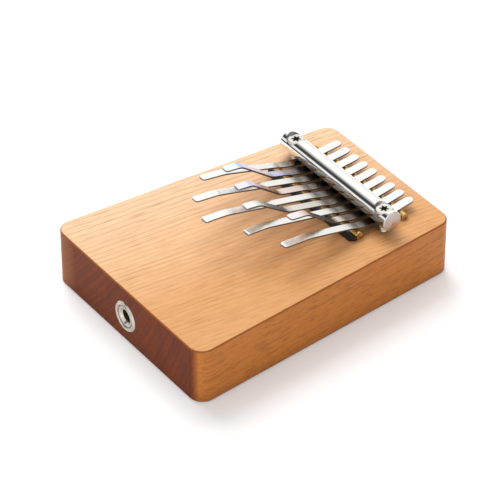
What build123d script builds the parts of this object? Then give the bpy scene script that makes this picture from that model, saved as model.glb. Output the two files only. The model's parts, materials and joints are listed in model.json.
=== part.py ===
"""A nine-tine electric thumb piano (mbira): a solid cherry block with spring-steel tines
held down by a screwed round bar, and a piezo pickup wired to a jack in the end face.

Millimetres, +Z up. The origin is the centre of the block's underside. The tines run along Y:
their tips point to -Y, where the jack is, and their tails to +Y.
Tine and bridge heights are measured from the top of the wood.
"""
from build123d import *

import os
from math import atan, cos

# ---- driving dimensions -------------------------------------------------------------------
BLOCK_LENGTH = 150
BLOCK_HEIGHT = 29
JACK_END_WIDTH = 114.5
BRIDGE_END_WIDTH = 92
CORNER_RADIUS = 7
EDGE_ROUNDING = 0.8

BAR_Y = 45
BAR_RADIUS = 5
BAR_HALF_LENGTH = 39.4
BAR_HEIGHT = 8
BAR_EDGE_CHAMFER = 0.4

SCREW_X = 33.2
SCREW_RADIUS = 2.24  # pitch radius of an M5 thread
SCREW_CLEARANCE = 0.1
BAR_HOLE_RADIUS = 2.75
SCREW_HEAD_RADIUS = 4.2
SCREW_HEAD_HEIGHT = 4.4
SCREW_LENGTH = 24.4
HEAD_POCKET_RADIUS = 4.5
HEAD_SEAT_HEIGHT = 7.4
LOBE_COUNT = 6
LOBE_CORE_RADIUS = 1.5
LOBE_RADIUS = 0.5
LOBE_DEPTH = 2.4
INSERT_RADIUS = 4
INSERT_LENGTH = 12
INSERT_DEPTH = 7

FRONT_ROD_Y = 31.5
FRONT_ROD_HEIGHT = 1.7
FRONT_ROD_RADIUS = 2.15
FRONT_ROD_HALF_LENGTH = 32.7
REAR_ROD_Y = 57.4
REAR_ROD_HEIGHT = 1.2
REAR_ROD_RADIUS = 1.7
REAR_ROD_HALF_LENGTH = 33.3
ROD_EDGE_CHAMFER = 0.3

BASE_FRONT_Y = 26.7
BASE_REAR_Y = 30.2
BASE_HALF_LENGTH = 32.9
BASE_HEIGHT = 2.6
BASE_INLAY_DEPTH = 1
BASE_END_BEVEL = 2.1
BASE_FRONT_SLOPE = 1.6

TINE_COUNT = 9
TINE_WIDTH = 4.5
TINE_THICKNESS = 0.8
TINE_PITCH = 7
TINE_FAN = 0.01125
BAR_GAP = 0.2
ROD_GAP = 0.2
PIVOT_GAP = 0.2
TAIL_END_Y = 66.3
TAIL_END_HEIGHT = 4.7
TIP_CORNER_RADIUS = 1.5
CLAMP_BEND_RADIUS = 20
TONGUE_BEND_RADIUS = 12
FOOT_BEND_RADIUS = 6

JACK_HEIGHT = 13.5
JACK_BORE_RADIUS = 3.25
JACK_BORE_LENGTH = 16
JACK_BARREL_RADIUS = 5.7
JACK_BARREL_LENGTH = 25
JACK_HOLE_RADIUS = 5.9
JACK_RING_RADIUS = 7.75
JACK_RING_DEPTH = 1.4
JACK_RING_PROUD = 0.5
JACK_MOUTH_RADIUS = 4.2
JACK_MOUTH_DEPTH = 1
JACK_GROOVE_WIDTH = 0.6
JACK_GROOVE_DEPTH = 0.8
JACK_FRONT_PROUD = 0.2
JACK_WASHER_RADIUS = 7.4
JACK_WASHER_THICKNESS = 0.8
JACK_LUG_THICKNESS = 0.5
JACK_LUG_WIDTH = 3
JACK_LUG_REACH = 12
JACK_NUT_ACROSS_FLATS = 14
JACK_NUT_THICKNESS = 2.5
INSULATOR_RADIUS = 4.5
INSULATOR_BORE_RADIUS = 3.6
INSULATOR_LENGTH = 11
CONTACT_WIDTH = 3
CONTACT_THICKNESS = 0.4

WALL_AT_JACK = 15
POCKET_WIDTH = 40
POCKET_LENGTH = 84
POCKET_DEPTH = 22
POCKET_CORNER_RADIUS = 4
COVER_LEDGE = 7
COVER_THICKNESS = 2
COVER_GAP = 0.25
COVER_SCREW_RADIUS = 1.25
COVER_SCREW_HOLE_RADIUS = 1.45
COVER_SCREW_HEAD_RADIUS = 2.6
COVER_SCREW_LENGTH = 10
COVER_SCREW_SLOT_WIDTH = 0.7
COVER_SCREW_SLOT_DEPTH = 0.6

PIEZO_Y = 8
PIEZO_PLATE_RADIUS = 13.5
PIEZO_PLATE_THICKNESS = 0.25
PIEZO_CERAMIC_RADIUS = 10
PIEZO_CERAMIC_THICKNESS = 0.25
WIRE_RADIUS = 0.5

# Each tongue as (distance along Y, height of its top surface) from the front rod to the tip.
# Odd tines rise in one line and dip over at the tip; even tines are cranked up to a raised tab.
TONGUE_POINTS = {
    1: [(0.3, 13.4), (-11.5, 14.8)],
    2: [(20.9, 7.5), (4.3, 20.2), (-4.2, 21.2)],
    3: [(-14, 16.7), (-26, 18)],
    4: [(15.1, 8.9), (-0.6, 21), (-8.5, 21.9)],
    5: [(-20, 17.6), (-32, 18.7)],
    6: [(8.4, 11), (-7.4, 22), (-15, 23.3)],
    7: [(-8.8, 14.8), (-20, 15.8)],
    8: [(24.2, 6.2), (8.3, 18.6), (-1, 20.1)],
    9: [(4, 12), (-10.4, 13.7)],
}

# ---- derived places -----------------------------------------------------------------------
WOOD_TOP = BLOCK_HEIGHT
JACK_FACE_Y = -BLOCK_LENGTH / 2
MIDDLE_TINE = (TINE_COUNT + 1) / 2
FRONT_CONTACT_HEIGHT = FRONT_ROD_HEIGHT + FRONT_ROD_RADIUS + ROD_GAP + TINE_THICKNESS
TINE_HEIGHT_AT_BAR = BAR_HEIGHT - BAR_RADIUS - BAR_GAP
FRONT_RISE = atan((FRONT_CONTACT_HEIGHT - TINE_HEIGHT_AT_BAR) / (BAR_Y - FRONT_ROD_Y))
TAIL_RISE = atan((TAIL_END_HEIGHT - TINE_HEIGHT_AT_BAR) / (TAIL_END_Y - BAR_Y))
# the rounded bend under the bar stands this far above the corner it rounds off
CLAMP_BEND_RISE = CLAMP_BEND_RADIUS * (1 / cos((FRONT_RISE + TAIL_RISE) / 2) - 1)
POCKET_START_Y = JACK_FACE_Y + WALL_AT_JACK
POCKET_Y = POCKET_START_Y + POCKET_LENGTH / 2
POCKET_TOP = Plane.XY.offset(POCKET_DEPTH)
COVER_WIDTH = POCKET_WIDTH + 2 * COVER_LEDGE
COVER_LENGTH = POCKET_LENGTH + 2 * COVER_LEDGE
COVER_CORNER_RADIUS = POCKET_CORNER_RADIUS
COVER_SCREW_SPACING_X = POCKET_WIDTH + COVER_LEDGE
COVER_SCREW_SPACING_Y = POCKET_LENGTH + COVER_LEDGE
WASHER_START = WALL_AT_JACK
LUG_START = WASHER_START + JACK_WASHER_THICKNESS
NUT_START = LUG_START + JACK_LUG_THICKNESS
INSULATOR_START = JACK_MOUTH_DEPTH + JACK_BORE_LENGTH
INSULATOR_END = INSULATOR_START + INSULATOR_LENGTH

WOOD_PLANE = Plane.XY.offset(WOOD_TOP)
JACK_AXIS = Axis((0, JACK_FACE_Y, JACK_HEIGHT), (0, 1, 0))
# x is the distance from the jack's axis and y the distance out of the end face
JACK_PROFILE_PLANE = Plane((0, JACK_FACE_Y, JACK_HEIGHT), x_dir=(1, 0, 0), z_dir=(0, 0, -1))


def jack_plane(depth):
    """The plane across the jack's axis at a depth below the end face, facing into the block."""
    return Plane((0, JACK_FACE_Y + depth, JACK_HEIGHT), x_dir=(-1, 0, 0), z_dir=(0, 1, 0))


def rod(y, height, radius, half_length, edge_chamfer):
    """A round rod lying across the block."""
    with BuildPart() as made:
        with BuildSketch(Plane.YZ):
            with Locations((y, WOOD_TOP + height)):
                Circle(radius)
        extrude(amount=half_length, both=True)
        chamfer(made.edges().filter_by(GeomType.CIRCLE), edge_chamfer)
    return made


def tine_direction(number):
    """The plan direction of a tine, towards its tail; the tines fan out towards their tips."""
    return Vector(-TINE_FAN * (number - MIDDLE_TINE), 1, 0).normalized()


def tine_origin(number):
    """The point on the wood under the bar and under a tine's centre line."""
    return Vector(TINE_PITCH * (number - MIDDLE_TINE), BAR_Y, WOOD_TOP)


def tine_side_plane(number):
    """The upright plane along a tine: x is the distance past the bar, y the height."""
    along = tine_direction(number)
    return Plane(tine_origin(number), x_dir=along, z_dir=along.cross(Vector(0, 0, 1)))


def tine_plan_plane(number):
    """The level plane along a tine: x is the distance past the bar."""
    return Plane(tine_origin(number), x_dir=tine_direction(number), z_dir=(0, 0, 1))


def tine_strip(number, points, radii):
    """Bent flat spring steel: the points give its top surface as (y, height)."""
    with BuildPart() as strip:
        with BuildSketch(tine_side_plane(number)):
            with BuildLine():
                FilletPolyline(*[(y - BAR_Y, height) for y, height in points], radius=radii)
                offset(amount=TINE_THICKNESS, side=Side.LEFT)
            make_face()
        extrude(amount=TINE_WIDTH / 2, both=True)
    return strip


def tine_root(number):
    """The clamped end of a tine: over the front rod, under the bar, over the rear rod."""
    points = [
        (TAIL_END_Y, TAIL_END_HEIGHT),
        (BAR_Y, TINE_HEIGHT_AT_BAR - CLAMP_BEND_RISE),
        (FRONT_ROD_Y + PIVOT_GAP, FRONT_CONTACT_HEIGHT),
    ]
    strip = tine_strip(number, points, CLAMP_BEND_RADIUS)
    tail = TAIL_END_Y - BAR_Y
    front = FRONT_ROD_Y - BAR_Y
    with BuildPart() as outline:
        with BuildSketch(tine_plan_plane(number)):
            with Locations(((front + tail) / 2 - TINE_WIDTH / 2, 0)):
                Rectangle(tail - front, TINE_WIDTH)
            with Locations((tail - TINE_WIDTH / 2, 0)):
                Circle(TINE_WIDTH / 2)
        extrude(amount=BLOCK_HEIGHT)
    with BuildPart() as root:
        add(strip.part)
        add(outline.part, mode=Mode.INTERSECT)
    return root


def tine_tongue(number):
    """The free end of a tine, plucked by the thumb; it pivots on the front rod."""
    bends = TONGUE_POINTS[number]
    points = [(FRONT_ROD_Y - PIVOT_GAP, FRONT_CONTACT_HEIGHT), *bends]
    cranked = len(bends) == 3
    radii = [FOOT_BEND_RADIUS, FOOT_BEND_RADIUS] if cranked else TONGUE_BEND_RADIUS
    strip = tine_strip(number, points[::-1], radii)
    tip = bends[-1][0] - BAR_Y
    length = FRONT_ROD_Y - BAR_Y - tip
    with BuildPart() as outline:
        with BuildSketch(tine_plan_plane(number)) as plan:
            with Locations((tip + length / 2, 0)):
                Rectangle(length, TINE_WIDTH)
            fillet(plan.vertices().group_by(Axis.X)[0], TIP_CORNER_RADIUS)
        extrude(amount=BLOCK_HEIGHT)
    with BuildPart() as tongue:
        add(strip.part)
        add(outline.part, mode=Mode.INTERSECT)
    return tongue


def pressure_screw(x):
    """Cylinder-head machine screw with a six-lobe drive; the thread is a plain shank."""
    head_top = WOOD_TOP + HEAD_SEAT_HEIGHT + SCREW_HEAD_HEIGHT
    with BuildPart() as screw:
        with BuildSketch(WOOD_PLANE.offset(HEAD_SEAT_HEIGHT)):
            with Locations((x, BAR_Y)):
                Circle(SCREW_HEAD_RADIUS)
        extrude(amount=SCREW_HEAD_HEIGHT)
        chamfer(screw.faces().sort_by(Axis.Z)[-1].edges(), BAR_EDGE_CHAMFER)
        with BuildSketch(WOOD_PLANE.offset(HEAD_SEAT_HEIGHT)):
            with Locations((x, BAR_Y)):
                Circle(SCREW_RADIUS)
        extrude(amount=-SCREW_LENGTH)
        with BuildSketch(Plane.XY.offset(head_top)):
            with Locations((x, BAR_Y)):
                Circle(LOBE_CORE_RADIUS)
                with PolarLocations(LOBE_CORE_RADIUS, LOBE_COUNT):
                    Circle(LOBE_RADIUS)
        extrude(amount=-LOBE_DEPTH, mode=Mode.SUBTRACT)
    return screw


def jack_ring(start, thickness, outer_radius):
    """A flat ring on the jack's barrel, starting at a depth below the end face."""
    with BuildPart() as ring:
        with BuildSketch(jack_plane(start)):
            Circle(outer_radius)
            Circle(JACK_BARREL_RADIUS, mode=Mode.SUBTRACT)
        extrude(amount=thickness)
    return ring


def wire(start, start_direction, end):
    """An insulated wire that leaves a terminal and ends square on the pickup's underside."""
    with BuildPart() as lead:
        with BuildLine() as path:
            Spline(start, end, tangents=[start_direction, (0, 0, 1)])
        with BuildSketch(Plane(path.line @ 0, z_dir=path.line % 0)):
            Circle(WIRE_RADIUS)
        sweep()
    return lead


def finish(piece, name):
    """Label a finished piece and write it."""
    piece.part.label = name
    export_step(piece.part, f"parts/{name}.step")


os.makedirs("parts", exist_ok=True)

# ---- bridges ------------------------------------------------------------------------------
front_bridge_rod = rod(
    FRONT_ROD_Y, FRONT_ROD_HEIGHT, FRONT_ROD_RADIUS, FRONT_ROD_HALF_LENGTH, ROD_EDGE_CHAMFER
)
finish(front_bridge_rod, "front_bridge_rod")

rear_bridge_rod = rod(
    REAR_ROD_Y, REAR_ROD_HEIGHT, REAR_ROD_RADIUS, REAR_ROD_HALF_LENGTH, ROD_EDGE_CHAMFER
)
finish(rear_bridge_rod, "rear_bridge_rod")

# the black strip the front rod lies in: let into the wood, bevelled at its front corners
with BuildPart() as front_bridge_base:
    with BuildSketch(WOOD_PLANE.offset(-BASE_INLAY_DEPTH)) as base_plan:
        with Locations((0, (BASE_FRONT_Y + BASE_REAR_Y) / 2)):
            Rectangle(2 * BASE_HALF_LENGTH, BASE_REAR_Y - BASE_FRONT_Y)
        chamfer(base_plan.vertices().group_by(Axis.Y)[0], BASE_END_BEVEL)
    extrude(amount=BASE_INLAY_DEPTH + BASE_HEIGHT)
    base_front = front_bridge_base.faces().sort_by(Axis.Y)[0]
    chamfer(base_front.edges().sort_by(Axis.Z)[-1], BASE_FRONT_SLOPE)
    add(front_bridge_rod.part, mode=Mode.SUBTRACT)
finish(front_bridge_base, "front_bridge_base")

# ---- block --------------------------------------------------------------------------------
with BuildPart() as wooden_body:
    with BuildSketch() as block_plan:
        with BuildLine():
            Polyline(
                (-JACK_END_WIDTH / 2, JACK_FACE_Y),
                (JACK_END_WIDTH / 2, JACK_FACE_Y),
                (BRIDGE_END_WIDTH / 2, -JACK_FACE_Y),
                (-BRIDGE_END_WIDTH / 2, -JACK_FACE_Y),
                close=True,
            )
        make_face()
        fillet(block_plan.vertices(), CORNER_RADIUS)
    extrude(amount=BLOCK_HEIGHT)
    level_faces = wooden_body.faces().filter_by(Axis.Z)
    fillet(level_faces.edges(), EDGE_ROUNDING)

    # pickup pocket and the recess for its cover, both open below
    with BuildSketch():
        with Locations((0, POCKET_Y)):
            RectangleRounded(POCKET_WIDTH, POCKET_LENGTH, POCKET_CORNER_RADIUS)
    extrude(amount=POCKET_DEPTH, mode=Mode.SUBTRACT)
    with BuildSketch():
        with Locations((0, POCKET_Y)):
            RectangleRounded(
                COVER_WIDTH + 2 * COVER_GAP, COVER_LENGTH + 2 * COVER_GAP, COVER_CORNER_RADIUS
            )
    extrude(amount=COVER_THICKNESS, mode=Mode.SUBTRACT)
    with BuildSketch():
        with Locations((0, POCKET_Y)):
            with GridLocations(COVER_SCREW_SPACING_X, COVER_SCREW_SPACING_Y, 2, 2):
                Circle(COVER_SCREW_RADIUS)
    extrude(amount=COVER_SCREW_LENGTH, mode=Mode.SUBTRACT)

    # jack hole through the end wall, with a step for the ring
    with BuildSketch(jack_plane(0)):
        Circle(JACK_HOLE_RADIUS)
    extrude(amount=WALL_AT_JACK, mode=Mode.SUBTRACT)
    with BuildSketch(jack_plane(0)):
        Circle(JACK_RING_RADIUS)
    extrude(amount=JACK_RING_DEPTH, mode=Mode.SUBTRACT)

    # holes for the bar's screws, widened from below for the threaded inserts
    with BuildSketch(WOOD_PLANE):
        with Locations((-SCREW_X, BAR_Y), (SCREW_X, BAR_Y)):
            Circle(SCREW_RADIUS + SCREW_CLEARANCE)
    extrude(amount=-BLOCK_HEIGHT, mode=Mode.SUBTRACT)
    with BuildSketch():
        with Locations((-SCREW_X, BAR_Y), (SCREW_X, BAR_Y)):
            Circle(INSERT_RADIUS)
    extrude(amount=BLOCK_HEIGHT - INSERT_DEPTH, mode=Mode.SUBTRACT)

    # seats for the bridge strip and the two rods
    with BuildSketch(WOOD_PLANE):
        add(base_plan.sketch_local)
    extrude(amount=-BASE_INLAY_DEPTH, mode=Mode.SUBTRACT)
    add(front_bridge_rod.part, mode=Mode.SUBTRACT)
    add(rear_bridge_rod.part, mode=Mode.SUBTRACT)
finish(wooden_body, "wooden_body")

# ---- pressure bar -------------------------------------------------------------------------
pressure_bar = rod(BAR_Y, BAR_HEIGHT, BAR_RADIUS, BAR_HALF_LENGTH, BAR_EDGE_CHAMFER)
with pressure_bar:
    with Locations(WOOD_PLANE.offset(BAR_HEIGHT + BAR_RADIUS)):
        with Locations((-SCREW_X, BAR_Y), (SCREW_X, BAR_Y)):
            CounterBoreHole(
                radius=BAR_HOLE_RADIUS,
                counter_bore_radius=HEAD_POCKET_RADIUS,
                counter_bore_depth=BAR_HEIGHT + BAR_RADIUS - HEAD_SEAT_HEIGHT,
            )
finish(pressure_bar, "pressure_bar")

finish(pressure_screw(-SCREW_X), "pressure_screw_left")
finish(pressure_screw(SCREW_X), "pressure_screw_right")

with BuildPart() as threaded_inserts:
    with BuildSketch(WOOD_PLANE.offset(-INSERT_DEPTH)):
        with Locations((-SCREW_X, BAR_Y), (SCREW_X, BAR_Y)):
            Circle(INSERT_RADIUS)
            Circle(SCREW_RADIUS + SCREW_CLEARANCE, mode=Mode.SUBTRACT)
    extrude(amount=-INSERT_LENGTH)
finish(threaded_inserts, "threaded_inserts")

# ---- tines --------------------------------------------------------------------------------
for tine in range(1, TINE_COUNT + 1):
    finish(tine_root(tine), f"tine_{tine}_root")
    finish(tine_tongue(tine), f"tine_{tine}_tongue")

# ---- jack ---------------------------------------------------------------------------------
# threaded tube with a bevelled mouth, a ring groove in its front face and a wider rear seat
with BuildPart() as jack_barrel:
    with BuildSketch(JACK_PROFILE_PLANE):
        with BuildLine():
            Polyline(
                (JACK_BORE_RADIUS, -JACK_MOUTH_DEPTH),
                (JACK_MOUTH_RADIUS, JACK_FRONT_PROUD),
                (JACK_BARREL_RADIUS - JACK_GROOVE_WIDTH, JACK_FRONT_PROUD),
                (JACK_BARREL_RADIUS - JACK_GROOVE_WIDTH, -JACK_GROOVE_DEPTH),
                (JACK_BARREL_RADIUS, -JACK_GROOVE_DEPTH),
                (JACK_BARREL_RADIUS, -JACK_BARREL_LENGTH),
                (INSULATOR_RADIUS, -JACK_BARREL_LENGTH),
                (INSULATOR_RADIUS, -INSULATOR_START),
                (JACK_BORE_RADIUS, -INSULATOR_START),
                close=True,
            )
        make_face()
    revolve(axis=JACK_AXIS)
finish(jack_barrel, "jack_barrel")

jack_front_nut = jack_ring(-JACK_RING_PROUD, JACK_RING_PROUD + JACK_RING_DEPTH, JACK_RING_RADIUS)
with jack_front_nut:
    chamfer(jack_front_nut.faces().sort_by(Axis.Y)[0].edges(), JACK_RING_PROUD / 2)
finish(jack_front_nut, "jack_front_nut")

jack_lock_washer = jack_ring(WASHER_START, JACK_WASHER_THICKNESS, JACK_WASHER_RADIUS)
finish(jack_lock_washer, "jack_lock_washer")

with BuildPart() as jack_ground_lug:
    with BuildSketch(jack_plane(LUG_START)):
        Circle(JACK_WASHER_RADIUS)
        with Locations((-JACK_LUG_REACH / 2, 0)):
            Rectangle(JACK_LUG_REACH, JACK_LUG_WIDTH)
        Circle(JACK_BARREL_RADIUS, mode=Mode.SUBTRACT)
    extrude(amount=JACK_LUG_THICKNESS)
finish(jack_ground_lug, "jack_ground_lug")

with BuildPart() as jack_lock_nut:
    with BuildSketch(jack_plane(NUT_START)):
        RegularPolygon(JACK_NUT_ACROSS_FLATS / 2, 6, major_radius=False)
        Circle(JACK_BARREL_RADIUS, mode=Mode.SUBTRACT)
    extrude(amount=JACK_NUT_THICKNESS)
finish(jack_lock_nut, "jack_lock_nut")

with BuildPart() as jack_insulator:
    with BuildSketch(jack_plane(INSULATOR_START)):
        Circle(INSULATOR_RADIUS)
        Circle(INSULATOR_BORE_RADIUS, mode=Mode.SUBTRACT)
    extrude(amount=INSULATOR_LENGTH)
finish(jack_insulator, "jack_insulator")

# leaf spring on the insulator's rear face: dips to meet a plug's tip, then rises to its terminal
contact_top = (INSULATOR_RADIUS + INSULATOR_BORE_RADIUS) / 2
contact_dip = INSULATOR_BORE_RADIUS / 2
contact_points = [
    (INSULATOR_END, contact_top),
    (INSULATOR_END + 2, contact_top),
    (INSULATOR_END + 4, contact_dip),
    (INSULATOR_END + 8, contact_top),
]
with BuildPart() as jack_tip_contact:
    with BuildSketch(Plane.YZ):
        with BuildLine():
            FilletPolyline(
                *[(JACK_FACE_Y + depth, JACK_HEIGHT + rise) for depth, rise in contact_points],
                radius=CONTACT_THICKNESS,
            )
            offset(amount=CONTACT_THICKNESS, side=Side.LEFT)
        make_face()
    extrude(amount=CONTACT_WIDTH / 2, both=True)
finish(jack_tip_contact, "jack_tip_contact")

# ---- pickup -------------------------------------------------------------------------------
with BuildPart() as piezo_plate:
    with BuildSketch(POCKET_TOP):
        with Locations((0, PIEZO_Y)):
            Circle(PIEZO_PLATE_RADIUS)
    extrude(amount=-PIEZO_PLATE_THICKNESS)
finish(piezo_plate, "piezo_plate")

with BuildPart() as piezo_ceramic:
    with BuildSketch(POCKET_TOP.offset(-PIEZO_PLATE_THICKNESS)):
        with Locations((0, PIEZO_Y)):
            Circle(PIEZO_CERAMIC_RADIUS)
    extrude(amount=-PIEZO_CERAMIC_THICKNESS)
finish(piezo_ceramic, "piezo_ceramic")

contact_end = Vector(0, JACK_FACE_Y + contact_points[-1][0] + CONTACT_THICKNESS, JACK_HEIGHT + contact_top)
ceramic_face = Vector(0, PIEZO_Y, POCKET_DEPTH - PIEZO_PLATE_THICKNESS - PIEZO_CERAMIC_THICKNESS)
finish(wire(contact_end, (0, 1, 0), ceramic_face), "signal_wire")

lug_end = Vector(JACK_LUG_REACH + WIRE_RADIUS, JACK_FACE_Y + LUG_START, JACK_HEIGHT)
plate_rim = Vector(
    (PIEZO_PLATE_RADIUS + PIEZO_CERAMIC_RADIUS) / 2, PIEZO_Y, POCKET_DEPTH - PIEZO_PLATE_THICKNESS
)
finish(wire(lug_end, (0, 1, 0), plate_rim), "ground_wire")

# ---- cover --------------------------------------------------------------------------------
with BuildPart() as pickup_cover:
    with BuildSketch():
        with Locations((0, POCKET_Y)):
            RectangleRounded(COVER_WIDTH, COVER_LENGTH, COVER_CORNER_RADIUS)
    extrude(amount=COVER_THICKNESS)
    with Locations(Plane((0, POCKET_Y, 0), z_dir=(0, 0, -1))):
        with GridLocations(COVER_SCREW_SPACING_X, COVER_SCREW_SPACING_Y, 2, 2):
            CounterSinkHole(COVER_SCREW_HOLE_RADIUS, COVER_SCREW_HEAD_RADIUS)
finish(pickup_cover, "pickup_cover")

# countersunk slotted screws, heads flush with the underside
head_depth = COVER_SCREW_HEAD_RADIUS - COVER_SCREW_HOLE_RADIUS
screw_axis_plane = Plane((0, 0, 0), x_dir=(1, 0, 0), z_dir=(0, -1, 0))
with BuildPart() as one_cover_screw:
    with BuildSketch(screw_axis_plane):
        with BuildLine():
            Polyline(
                (0, 0),
                (COVER_SCREW_HEAD_RADIUS, 0),
                (COVER_SCREW_HOLE_RADIUS, head_depth),
                (COVER_SCREW_RADIUS, head_depth),
                (COVER_SCREW_RADIUS, COVER_SCREW_LENGTH),
                (0, COVER_SCREW_LENGTH),
                close=True,
            )
        make_face()
    revolve(axis=Axis.Z)
    with BuildSketch():
        Rectangle(2 * COVER_SCREW_HEAD_RADIUS, COVER_SCREW_SLOT_WIDTH)
    extrude(amount=COVER_SCREW_SLOT_DEPTH, mode=Mode.SUBTRACT)

with BuildPart() as cover_screws:
    with Locations((0, POCKET_Y)):
        with GridLocations(COVER_SCREW_SPACING_X, COVER_SCREW_SPACING_Y, 2, 2):
            add(one_cover_screw.part)
finish(cover_screws, "cover_screws")
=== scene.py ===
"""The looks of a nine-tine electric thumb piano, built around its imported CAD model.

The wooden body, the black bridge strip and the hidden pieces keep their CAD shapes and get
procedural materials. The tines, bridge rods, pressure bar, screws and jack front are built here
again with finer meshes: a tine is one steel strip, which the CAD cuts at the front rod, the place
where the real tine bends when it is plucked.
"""

import json
from math import cos, pi, radians, sin, tau

import bmesh
import bpy
import numpy as np
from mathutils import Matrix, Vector
from mathutils.bvhtree import BVHTree


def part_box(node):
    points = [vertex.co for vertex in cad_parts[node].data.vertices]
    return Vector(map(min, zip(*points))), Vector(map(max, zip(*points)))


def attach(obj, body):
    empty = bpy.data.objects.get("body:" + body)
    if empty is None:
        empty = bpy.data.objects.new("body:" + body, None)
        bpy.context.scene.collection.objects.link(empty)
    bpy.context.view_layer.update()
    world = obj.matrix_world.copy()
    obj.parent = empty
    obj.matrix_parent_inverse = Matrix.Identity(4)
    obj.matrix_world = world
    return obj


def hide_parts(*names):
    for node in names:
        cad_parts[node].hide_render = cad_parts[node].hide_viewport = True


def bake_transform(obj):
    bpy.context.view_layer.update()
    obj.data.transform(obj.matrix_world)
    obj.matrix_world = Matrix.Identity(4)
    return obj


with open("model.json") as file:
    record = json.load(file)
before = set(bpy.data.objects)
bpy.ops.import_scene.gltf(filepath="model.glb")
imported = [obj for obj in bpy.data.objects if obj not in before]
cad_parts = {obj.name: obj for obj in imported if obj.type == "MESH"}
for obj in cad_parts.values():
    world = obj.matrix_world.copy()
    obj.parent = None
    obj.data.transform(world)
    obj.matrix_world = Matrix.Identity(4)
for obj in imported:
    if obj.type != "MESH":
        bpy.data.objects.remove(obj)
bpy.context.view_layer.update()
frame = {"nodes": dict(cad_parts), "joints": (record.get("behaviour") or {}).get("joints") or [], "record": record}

MM = 0.001
UP = Vector((0, 0, 1))
NODES = frame["nodes"]
JOINTS = {joint["name"]: joint for joint in frame["joints"]}
MOUNTS = {mount["name"]: mount for mount in frame["record"]["mounts"]}
TINES = range(1, 10)

WOOD_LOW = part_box("wooden_body")[0]
BAR_LOW, BAR_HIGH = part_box("pressure_bar")
BAR_MIDDLE = (BAR_LOW + BAR_HIGH) / 2
BAR_RADIUS = (BAR_HIGH.z - BAR_LOW.z) / 2


# ---- shaders ------------------------------------------------------------------------------
class Nodes:
    """Adds nodes to a shader tree."""

    def __init__(self, tree):
        self.nodes = tree.nodes
        self.links = tree.links

    def set(self, node, inputs):
        for key, value in inputs.items():
            if isinstance(value, bpy.types.NodeSocket):
                self.links.new(value, node.inputs[key])
            else:
                node.inputs[key].default_value = value

    def node(self, kind, inputs=None, **settings):
        node = self.nodes.new("ShaderNode" + kind)
        for key, value in settings.items():
            setattr(node, key, value)
        self.set(node, inputs or {})
        return node

    def axes(self, vector):
        parts = self.node("SeparateXYZ", {"Vector": vector})
        return [parts.outputs[axis] for axis in "XYZ"]

    def noise(self, vector, scale, detail=2.0, roughness=0.5):
        inputs = {"Vector": vector, "Scale": scale, "Detail": detail, "Roughness": roughness}
        return self.node("TexNoise", inputs).outputs["Fac"]

    def range(self, value, low, high, to_low=0.0, to_high=1.0):
        inputs = {0: value, 1: low, 2: high, 3: to_low, 4: to_high}
        return self.node("MapRange", inputs).outputs[0]

    def ramp(self, value, stops):
        node = self.node("ValToRGB", {"Fac": value})
        elements = node.color_ramp.elements
        while len(elements) < len(stops):
            elements.new(1.0)
        for element, (position, color) in zip(elements, stops):
            element.position = position
            element.color = (*color, 1)
        return node.outputs["Color"]

    def mix(self, factor, first, second, kind="MIX"):
        node = self.node("Mix", data_type="RGBA", blend_type=kind)
        colors = [c if isinstance(c, bpy.types.NodeSocket) else (*c, 1) for c in (first, second)]
        self.set(node, {0: factor, 6: colors[0], 7: colors[1]})
        return node.outputs[2]

    def math(self, operation, *values):
        node = self.node("Math", operation=operation)
        self.set(node, dict(enumerate(values)))
        return node.outputs[0]

    def dot(self, vector, direction):
        node = self.node("VectorMath", {0: vector, 1: direction}, operation="DOT_PRODUCT")
        return node.outputs["Value"]


class Shader(Nodes):
    """A Principled material while its nodes are being added."""

    def __init__(self, name, color, metallic, roughness):
        self.material = bpy.data.materials.new(name)
        self.material.use_nodes = True
        self.material.diffuse_color = (*color, 1)
        super().__init__(self.material.node_tree)
        self.surface = self.nodes["Principled BSDF"]
        self.relief = None
        self.set(self.surface, {"Base Color": (*color, 1), "Metallic": metallic, "Roughness": roughness})

    def place(self, scale=(1, 1, 1), offset=(0, 0, 0), turn=0.0):
        """Object coordinates in millimetres, turned about Z, then scaled and moved."""
        inputs = {"Vector": self.node("TexCoord").outputs["Object"], "Scale": (1 / MM, 1 / MM, 1 / MM),
                  "Rotation": (0, 0, turn)}
        turned = self.node("Mapping", inputs).outputs["Vector"]
        inputs = {"Vector": turned, "Scale": scale, "Location": offset}
        return self.node("Mapping", inputs).outputs["Vector"]

    def openness(self, distance):
        """How open the surroundings are within a distance, from 0 in a crevice to 1."""
        return self.node("AmbientOcclusion", {"Distance": distance}, samples=8).outputs["AO"]

    def bump(self, height, depth):
        """Adds relief: depth is the height in metres that a value of one stands for."""
        inputs = {"Height": height, "Distance": depth}
        if self.relief is not None:
            inputs["Normal"] = self.relief
        self.relief = self.node("Bump", inputs).outputs["Normal"]
        self.set(self.surface, {"Normal": self.relief})

    def color(self, value):
        self.set(self.surface, {"Base Color": value})

    def rough(self, value):
        self.set(self.surface, {"Roughness": value})

    def facing(self, direction):
        """How squarely the unbumped surface faces a direction, from -1 to 1."""
        return self.dot(self.node("NewGeometry").outputs["Normal"], direction)


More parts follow.
